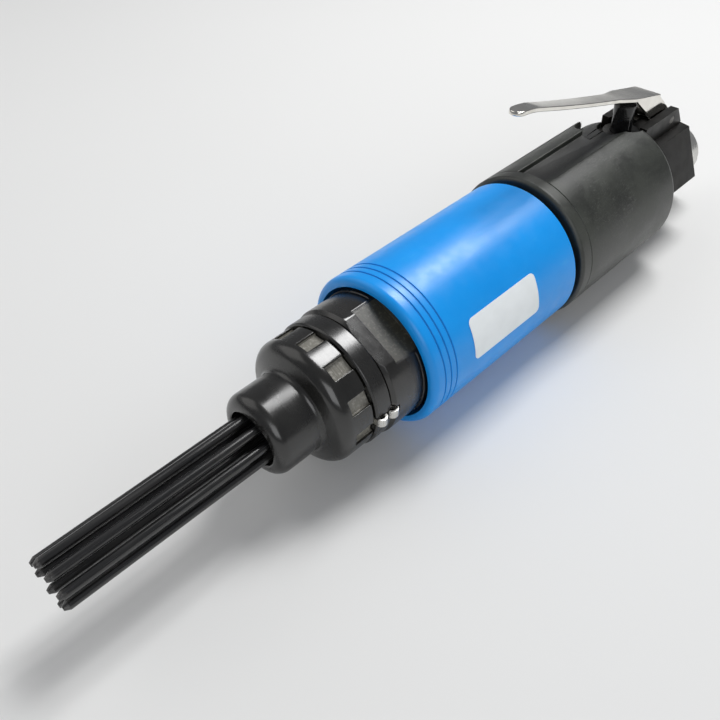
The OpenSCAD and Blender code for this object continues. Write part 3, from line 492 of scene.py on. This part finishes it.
def label():
    half_x = (label_high.x - label_low.x) / 2
    mid_x = (label_high.x + label_low.x) / 2
    mesh = bpy.data.meshes.new("label_face")
    made = bmesh.new()
    made.faces.new([made.verts.new((x, s, 0)) for x, s in label_outline(half_x)])
    for step in range(1, LABEL_STRIPS):
        cut = -LABEL_HALF_HEIGHT + 2 * LABEL_HALF_HEIGHT * step / LABEL_STRIPS
        bmesh.ops.bisect_plane(made, geom=made.verts[:] + made.edges[:] + made.faces[:],
                               plane_co=(0, cut, 0), plane_no=(0, 1, 0))
    top = bmesh.ops.extrude_face_region(made, geom=made.faces[:])
    lifted = {v for v in top["geom"] if isinstance(v, bmesh.types.BMVert)}
    for vert in made.verts:
        reach = LABEL_FACE_R if vert in lifted else LABEL_UNDER_R
        turn = LABEL_TURN + vert.co.y / LABEL_FACE_R
        vert.co = Vector((mid_x + vert.co.x, reach * math.sin(turn), AXIS_Z + reach * math.cos(turn)))
    write_outward(made, mesh)
    for face in mesh.polygons:
        face.use_smooth = True
    piece = add_object("label_face", mesh)
    bevel = piece.modifiers.new("edge", "BEVEL")
    bevel.width = LABEL_EDGE_WIDTH
    bevel.limit_method = "ANGLE"
    bevel.angle_limit = LABEL_EDGE_ANGLE
    piece.modifiers.new("normals", "WEIGHTED_NORMAL")
    mesh.materials.append(label_look().mat)
    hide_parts("label_plate")
    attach(piece, "tool")


label()

# Springs of round wire
WIRE_SIDES = 12
STEPS_PER_TURN = 32


def coil(name, along, turns, wire, front):
    """A spring along X or Z, built in place and carried with the tool."""
    low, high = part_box(name)
    middle = (low + high) / 2
    reach = (high.y - low.y) / 2 - wire / 2
    length = high[along] - low[along]
    rise = length - wire
    lean = math.atan2(rise / turns, 2 * math.pi * reach)
    steps = int(turns * STEPS_PER_TURN)
    points = []
    for step in range(steps + 1):
        turn = 2 * math.pi * turns * step / steps
        out = Vector((math.cos(turn), math.sin(turn), 0))
        up = Vector((math.sin(lean) * math.sin(turn), -math.sin(lean) * math.cos(turn), math.cos(lean)))
        centre = out * reach + Vector((0, 0, rise * (step / steps - 0.5)))
        for side in range(WIRE_SIDES):
            part = 2 * math.pi * side / WIRE_SIDES
            spot = centre + (out * math.cos(part) + up * math.sin(part)) * wire / 2
            points.append(middle + (Vector((spot.z, spot.y, -spot.x)) if along == X else spot))
    faces = [tuple(range(WIRE_SIDES)), tuple(range(steps * WIRE_SIDES, (steps + 1) * WIRE_SIDES))]
    for step in range(steps):
        for side in range(WIRE_SIDES):
            a = step * WIRE_SIDES + side
            b = step * WIRE_SIDES + (side + 1) % WIRE_SIDES
            faces.append((a, b, b + WIRE_SIDES, a + WIRE_SIDES))
    mesh = bpy.data.meshes.new(name + "_wire")
    mesh.from_pydata(points, [], faces)
    made = bmesh.new()
    made.from_mesh(mesh)
    write_outward(made, mesh)
    for face in mesh.polygons:
        face.use_smooth = len(face.vertices) == 4
    piece = add_object(name + "_wire", mesh)
    mesh.materials.append(spring_wire.mat)
    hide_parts(name)
    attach(piece, "tool")
    anchor = middle.copy()
    anchor[along] = high[along] if front else low[along]
    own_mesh(piece)


coil("needle_spring", along=X, turns=5, wire=1.6 * MM, front=True)
coil("throttle_spring", along=Z, turns=4.5, wire=0.9 * MM, front=False)


# Camera at the photograph's viewing angle
def camera():
    data = bpy.data.cameras.new("photo_view")
    data.sensor_fit = "HORIZONTAL"
    data.sensor_width = 36.0
    data.lens = 39.6
    data.clip_start = 0.01
    ahead = Vector((-0.5051, -0.5337, -0.6783)).normalized()
    about_up = Vector((-0.5025, -0.4571, 0.7339))
    right = ahead.cross(about_up).normalized()
    up = right.cross(ahead)
    turn = Matrix((right, up, -ahead)).transposed().to_4x4()
    turn.translation = Vector((0.17895, 0.1397, 0.2056))
    piece = add_object("photo_view", data)
    piece.matrix_world = turn
    bpy.context.scene.camera = piece


camera()

# Plain pale floor and soft studio light
FLOOR_HALF = 4.0


def stage():
    mesh = bpy.data.meshes.new("floor")
    corners = [(x * FLOOR_HALF, y * FLOOR_HALF, 0) for x, y in ((-1, -1), (1, -1), (1, 1), (-1, 1))]
    mesh.from_pydata(corners, [], [(0, 1, 2, 3)])
    floor = add_object("floor", mesh)
    look = Look("pale_floor", (0.80, 0.80, 0.79), 0.75, specular=0.2)
    look.set("Base Color", look.mix(look.noise(0.3), (0.79, 0.79, 0.78), (0.82, 0.82, 0.81)))
    mesh.materials.append(look.mat)


stage()

LAMP_AIM = Vector((0, 0, 0.03))


def lamp(name, place, size, power, tint=(1, 1, 1)):
    data = bpy.data.lights.new(name, "AREA")
    data.shape = "SQUARE"
    data.size = size
    data.energy = power
    data.color = tint
    piece = add_object(name, data)
    piece.location = place
    piece.rotation_euler = (LAMP_AIM - Vector(place)).to_track_quat("-Z", "Y").to_euler()


lamp("key", (-0.55, -0.07, 0.97), size=0.45, power=9.0)
lamp("fill", (0.5, -0.9, 0.9), size=1.1, power=3.0, tint=(1.0, 0.98, 0.95))
lamp("rim", (0.75, 1.0, 0.75), size=0.9, power=5.0, tint=(0.98, 0.99, 1.0))

world = bpy.data.worlds.new("studio")
bpy.context.scene.world = world
world.use_nodes = True
sky = world.node_tree.nodes["Background"].inputs
sky["Color"].default_value = (0.93, 0.95, 1.0, 1)
sky["Strength"].default_value = 0.24
bpy.context.scene.view_settings.view_transform = "Standard"
